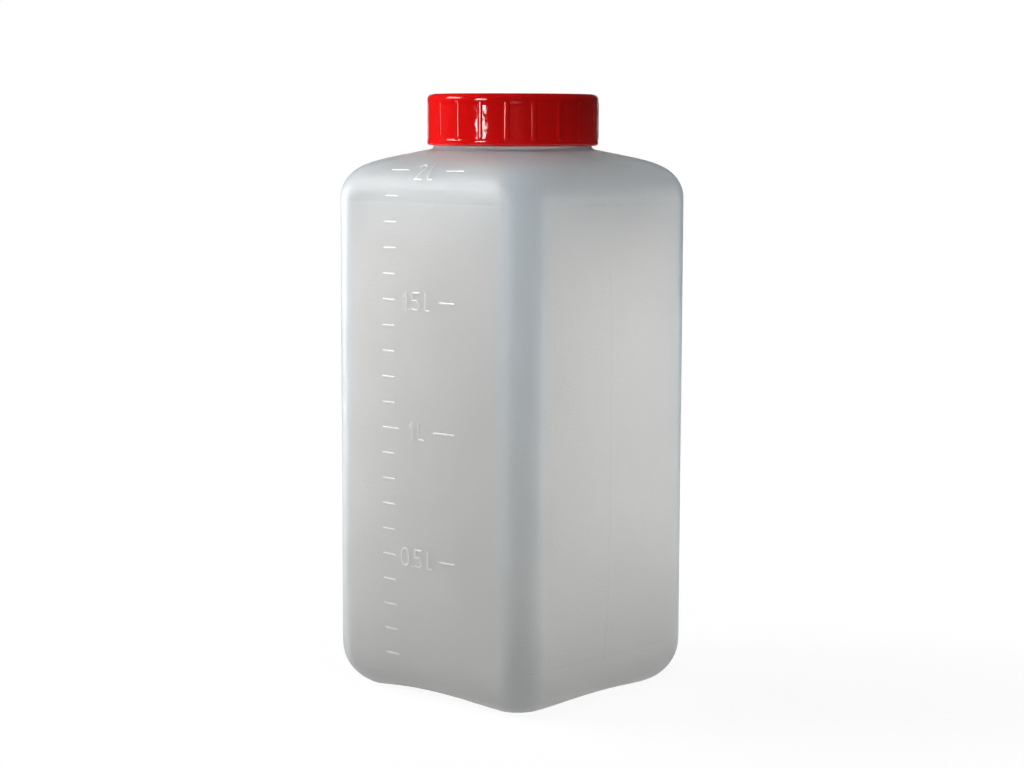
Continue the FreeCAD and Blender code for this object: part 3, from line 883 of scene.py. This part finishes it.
def rib_mesh():
    """A strip along the panel whose crest stands proud and falls away at its flanks and ends."""
    points, faces = [], []
    root = PANEL_RADIUS - RIB_ROOT
    for along in np.sin(np.linspace(-math.pi / 2, math.pi / 2, RIB_ALONG + 1)):
        height = (PANEL_TOP + PANEL_BOTTOM) / 2 + along * (PANEL_TOP - PANEL_BOTTOM) / 2
        from_end = min(PANEL_TOP - height, height - PANEL_BOTTOM)
        end_share = math.sqrt(max(1 - (1 - min(from_end / RIB_END, 1)) ** 2, 0))
        standing = RIB_END_SHARE + (1 - RIB_END_SHARE) * end_share
        for turn in np.linspace(-math.pi / 2, math.pi / 2, RIB_ACROSS + 1):
            crest = max(math.cos(turn), 0) ** FLANK_POWER
            radius = root + (RIB_RADIUS - root) * crest * standing
            points.append((radius, math.sin(turn) * RIB_WIDTH / 2, height))
    width = RIB_ACROSS + 1
    for row in range(RIB_ALONG):
        for column in range(RIB_ACROSS):
            corner = row * width + column
            faces.append((corner, corner + 1, corner + 1 + width, corner + width))
        near, far = row * width, (row + 1) * width
        faces.append((near, far, far + RIB_ACROSS, near + RIB_ACROSS))
    faces.append(tuple(range(RIB_ACROSS, -1, -1)))
    faces.append(tuple(range(RIB_ALONG * width, RIB_ALONG * width + width)))
    return smooth_mesh("cap_ribs", points, faces)


ribs = rib_mesh()
print("one rib", len(ribs.data.polygons), "faces")


# %% All ribs, by Geometry Nodes
def rib_tree():
    """Turns copies of one rib round the axis."""
    tree, given, result = new_tree(
        "ribs_round_cap",
        {"Count": "NodeSocketInt", "First Turn": "NodeSocketFloat", "Finish": "NodeSocketMaterial"},
    )
    nodes, link = tree.nodes, tree.links.new
    points = nodes.new("GeometryNodePoints")
    number = nodes.new("GeometryNodeInputIndex")
    pitch = nodes.new("ShaderNodeMath")
    pitch.operation = "DIVIDE"
    pitch.inputs[0].default_value = 2 * math.pi
    turn = nodes.new("ShaderNodeMath")
    turn.operation = "MULTIPLY_ADD"
    angles = nodes.new("ShaderNodeCombineXYZ")
    place = nodes.new("GeometryNodeInstanceOnPoints")
    real = nodes.new("GeometryNodeRealizeInstances")
    finish = nodes.new("GeometryNodeSetMaterial")
    link(given.outputs["Count"], points.inputs["Count"])
    link(given.outputs["Count"], pitch.inputs[1])
    link(number.outputs["Index"], turn.inputs[0])
    link(pitch.outputs[0], turn.inputs[1])
    link(given.outputs["First Turn"], turn.inputs[2])
    link(turn.outputs[0], angles.inputs["Z"])
    link(points.outputs["Points"], place.inputs["Points"])
    link(given.outputs["Geometry"], place.inputs["Instance"])
    link(angles.outputs["Vector"], place.inputs["Rotation"])
    link(place.outputs["Instances"], real.inputs["Geometry"])
    link(real.outputs["Geometry"], finish.inputs["Geometry"])
    link(given.outputs["Finish"], finish.inputs["Material"])
    link(finish.outputs["Geometry"], result.inputs["Geometry"])
    return tree


baked(ribs, rib_tree(), {"Count": RIB_COUNT, "First Turn": RIB_TURN, "Finish": red_plastic})

# %% [markdown]
# The liner is a disc of foamed plastic that lies in the cap. Its soft edge and the ring that the neck's
# rim presses into it show when the cap is off, so it gets both.

# %% The liner
LINER_RADIUS = 30.25
LINER_ROUND = 0.4
PRESS_DEPTH = 0.12
PRESS_MIDDLE = 27.5
PRESS_WIDTH = 1.6
PRESS_ROWS = 24
PRESSED_FROM = 29.25
PRESSED_TO = 24.0
FLAT_RADII = (8, 20)
LINER_COLUMNS = 160


def liner_section():
    """(radius, height) pairs from the middle of the top, round the edge and back under."""
    pairs = [(radius, CAP_CEILING) for radius in FLAT_RADII]
    pairs += arc(LINER_RADIUS - LINER_ROUND, CAP_CEILING - LINER_ROUND, LINER_ROUND, 90, 0)
    pairs += arc(LINER_RADIUS - LINER_ROUND, RIM_TOP + LINER_ROUND, LINER_ROUND, 0, -90)
    for radius in np.linspace(PRESSED_FROM, PRESSED_TO, PRESS_ROWS):
        press = max(1 - ((radius - PRESS_MIDDLE) / PRESS_WIDTH) ** 2, 0)
        pairs.append((radius, RIM_TOP + PRESS_DEPTH * press))
    return pairs + [(radius, RIM_TOP) for radius in FLAT_RADII[::-1]]


liner_angles = np.linspace(2 * math.pi, 0, LINER_COLUMNS, endpoint=False)
liner_rings = [ring_at(liner_angles, height, radius) for radius, height in liner_section()]
liner = skin_rings("liner_disc", liner_rings, (0, 0, CAP_CEILING), (0, 0, RIM_TOP))
liner.data.materials.append(foam)
print("liner", len(liner.data.polygons), "faces")

# %% [markdown]
# The skin, the cap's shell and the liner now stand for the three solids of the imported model, and every
# piece rides on a body of it. So the ribs turn and rise with the cap, and the liner rises with both.

# %% Ride on the bodies
for piece, body, node, slot in (
    (bottle, "bottle", "bottle", "natural_polyethylene"),
    (scale, "bottle", None, "natural_polyethylene"),
    (cap, "cap", "screw_cap", "red_cap"),
    (ribs, "cap", None, "red_cap"),
    (liner, "liner", "sealing_liner", "white_foam"),
):
    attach(piece, body)
    if node:
        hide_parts(node)

# %% [markdown]
# The studio has a pale floor and a white background. Both could be lit until they are white, but that
# light would wash out the bottle. Here they glow only for rays that come from the camera, go through the
# wall or are mirrored, and the floor still takes the bottle's shadow. A mirrored white all round would
# turn the glossy red pink, so mirrored rays find a white sheet behind the bottle and a dim room
# elsewhere.

# %% Floor
FLOOR_SIZE = 1.4
half_floor = FLOOR_SIZE / 2
floor_mesh = bpy.data.meshes.new("floor")
floor_corners = [(x * half_floor, y * half_floor, 0) for x, y in ((-1, -1), (1, -1), (1, 1), (-1, 1))]
floor_mesh.from_pydata(floor_corners, [], [(0, 1, 2, 3)])
floor = placed("floor", floor_mesh)
print("floor", FLOOR_SIZE, "m wide")


# %% The floor's finish
def highest(nodes, link, values):
    """The highest of several values, so that a mask holds wherever one of them does."""
    so_far = values[0]
    for value in values[1:]:
        either = nodes.new("ShaderNodeMath")
        either.operation = "MAXIMUM"
        link(so_far, either.inputs[0])
        link(value, either.inputs[1])
        so_far = either.outputs[0]
    return so_far


FLOOR_SHADE = 0.2
FLOOR_GLOW = 0.9
SHADOW_NEAR = 0.1
SHADOW_FAR = 0.45
floor_finish = bpy.data.materials.new("white_floor")
floor_finish.use_nodes = True
floor_nodes, floor_link = floor_finish.node_tree.nodes, floor_finish.node_tree.links.new
floor_shader = floor_nodes["Principled BSDF"]
floor_shader.inputs["Base Color"].default_value = (FLOOR_SHADE, FLOOR_SHADE, FLOOR_SHADE, 1)
floor_shader.inputs["Roughness"].default_value = 1.0
floor_shader.inputs["Specular IOR Level"].default_value = 0.0
floor_shader.inputs["Emission Color"].default_value = (1, 1, 1, 1)
floor_place = floor_nodes.new("ShaderNodeTexCoord")
away = floor_nodes.new("ShaderNodeVectorMath")
away.operation = "LENGTH"
floor_link(floor_place.outputs["Object"], away.inputs[0])
fade = floor_nodes.new("ShaderNodeMapRange")
fade.interpolation_type = "SMOOTHSTEP"
fade.inputs["From Min"].default_value = SHADOW_NEAR
fade.inputs["From Max"].default_value = SHADOW_FAR
fade.inputs["To Min"].default_value = FLOOR_GLOW
fade.inputs["To Max"].default_value = 1.0
floor_link(away.outputs["Value"], fade.inputs["Value"])
floor_path = floor_nodes.new("ShaderNodeLightPath")
floor_rays = [floor_path.outputs[f"Is {kind} Ray"] for kind in ("Camera", "Glossy", "Transmission")]
glow = floor_nodes.new("ShaderNodeMath")
glow.operation = "MULTIPLY"
floor_link(highest(floor_nodes, floor_link, floor_rays), glow.inputs[0])
floor_link(fade.outputs["Result"], glow.inputs[1])
floor_link(glow.outputs[0], floor_shader.inputs["Emission Strength"])
floor_mesh.materials.append(floor_finish)
print("finish of the floor", floor_finish.name)

# %% Room
ROOM_LIGHT = 0.042
SHEET_EDGE = 0.94
SHEET_FULL = 0.99
SHEET_DIRECTION = (-0.6667, 0.7454, 0.0)
room = bpy.data.worlds.new("room")
bpy.context.scene.world = room
room.use_nodes = True
room_nodes, room_link = room.node_tree.nodes, room.node_tree.links.new
background = room_nodes["Background"]
background.inputs["Color"].default_value = (1, 1, 1, 1)
brightness = room_nodes.new("ShaderNodeMapRange")
brightness.inputs["To Min"].default_value = ROOM_LIGHT
brightness.inputs["To Max"].default_value = 1.0
room_path = room_nodes.new("ShaderNodeLightPath")
direction = room_nodes.new("ShaderNodeTexCoord")
along = room_nodes.new("ShaderNodeVectorMath")
along.operation = "DOT_PRODUCT"
along.inputs[1].default_value = SHEET_DIRECTION
room_link(direction.outputs["Generated"], along.inputs[0])
on_sheet = room_nodes.new("ShaderNodeMapRange")
on_sheet.inputs["From Min"].default_value = SHEET_EDGE
on_sheet.inputs["From Max"].default_value = SHEET_FULL
room_link(along.outputs["Value"], on_sheet.inputs["Value"])
mirrored = room_nodes.new("ShaderNodeMath")
mirrored.operation = "MULTIPLY"
room_link(room_path.outputs["Is Glossy Ray"], mirrored.inputs[0])
room_link(on_sheet.outputs["Result"], mirrored.inputs[1])
room_rays = [room_path.outputs[f"Is {kind} Ray"] for kind in ("Camera", "Transmission")]
room_rays.append(mirrored.outputs[0])
room_link(highest(room_nodes, room_link, room_rays), brightness.inputs["Value"])
room_link(brightness.outputs["Result"], background.inputs["Strength"])
print("room", room.name, "with a light of", ROOM_LIGHT)

# %% [markdown]
# A large window to the left shapes the front, and a softer light above it draws the bright line along the
# shoulder's knee. A light from the ceiling lifts the top of the shoulder, and a faint one from the
# camera's side lifts the upper corner. The tall strip gives the cap its upright highlight. Four small
# panels with narrow grids lift one side each, the cap's left side among them. A polished cap would mirror
# every lamp, so all but the strip and the shoulder's light are hidden from mirrored rays.

# %% Lights
def soft_light(name, azimuth, height, distance, size, power, aim, spread, mirrored=False):
    """A rectangular light that faces the axis at the aim height, narrowed to the spread by a grid."""
    light = bpy.data.lights.new(name, "AREA")
    light.shape = "RECTANGLE"
    light.size, light.size_y = size
    light.energy = power
    light.spread = math.radians(spread)
    lamp = placed(name, light)
    lamp.visible_glossy = mirrored
    turn = math.radians(azimuth)
    lamp.location = (distance * math.sin(turn), -distance * math.cos(turn), height)
    towards = Vector((0, 0, aim)) - lamp.location
    lamp.rotation_euler = towards.to_track_quat("-Z", "Y").to_euler()


soft_light(
    "left_window", azimuth=-69, height=0.42, distance=1.05, size=(0.8, 0.6), power=1.64, aim=0.28, spread=70
)
soft_light(
    "shoulder_light", azimuth=-47, height=0.62, distance=1.0, size=(0.45, 0.35), power=0.37, aim=0.25,
    spread=45, mirrored=True,
)
soft_light(
    "ceiling_light", azimuth=60, height=1.15, distance=0.3, size=(0.5, 0.5), power=0.28, aim=0.2, spread=60
)
soft_light(
    "front_fill", azimuth=47, height=0.26, distance=1.2, size=(0.4, 0.15), power=0.023, aim=0.2, spread=16
)
soft_light(
    "tall_strip", azimuth=-1, height=0.37, distance=1.2, size=(0.28, 0.4), power=0.195, aim=0.37,
    spread=26, mirrored=True,
)
soft_light(
    "cap_panel", azimuth=-80, height=0.225, distance=0.7, size=(0.3, 0.06), power=0.012, aim=0.215, spread=14
)
soft_light(
    "side_panel", azimuth=132, height=0.105, distance=0.7, size=(0.3, 0.17), power=0.047, aim=0.1, spread=14
)
soft_light(
    "back_panel", azimuth=150, height=0.11, distance=0.7, size=(0.3, 0.17), power=0.05, aim=0.09, spread=14
)
soft_light(
    "left_panel", azimuth=-82, height=0.1, distance=0.7, size=(0.3, 0.18), power=0.056, aim=0.11, spread=14
)
print("lamps", [light.name for light in bpy.data.lights if light.type == "AREA"])

# %% [markdown]
# The camera stands where the photograph was taken: its place, tilt and lens were fitted to the bottle's
# marks and edges, so every piece falls on the same pixels.

# %% Camera
CAMERA_AZIMUTH = 41.81
CAMERA_DISTANCE = 0.9037
CAMERA_HEIGHT = 0.22276
CAMERA_PITCH = 6.598
CAMERA_ROLL = 0.176
FOCAL_PIXELS = 2322
IMAGE_WIDTH = 1024
SENSOR = 36.0

camera_data = bpy.data.cameras.new("camera")
camera_data.sensor_width = SENSOR
camera_data.lens = FOCAL_PIXELS / IMAGE_WIDTH * SENSOR
camera = placed("camera", camera_data)
facing = math.radians(CAMERA_AZIMUTH)
camera.location = (
    CAMERA_DISTANCE * math.sin(facing), -CAMERA_DISTANCE * math.cos(facing), CAMERA_HEIGHT
)
turned = Matrix.Rotation(facing, 4, "Z") @ Matrix.Rotation(math.radians(90 - CAMERA_PITCH), 4, "X")
turned = turned @ Matrix.Rotation(math.radians(CAMERA_ROLL), 4, "Z")
camera.rotation_euler = turned.to_euler()
bpy.context.scene.camera = camera
bpy.context.scene.view_settings.view_transform = "Standard"
print("lens", round(camera_data.lens, 1), "mm")
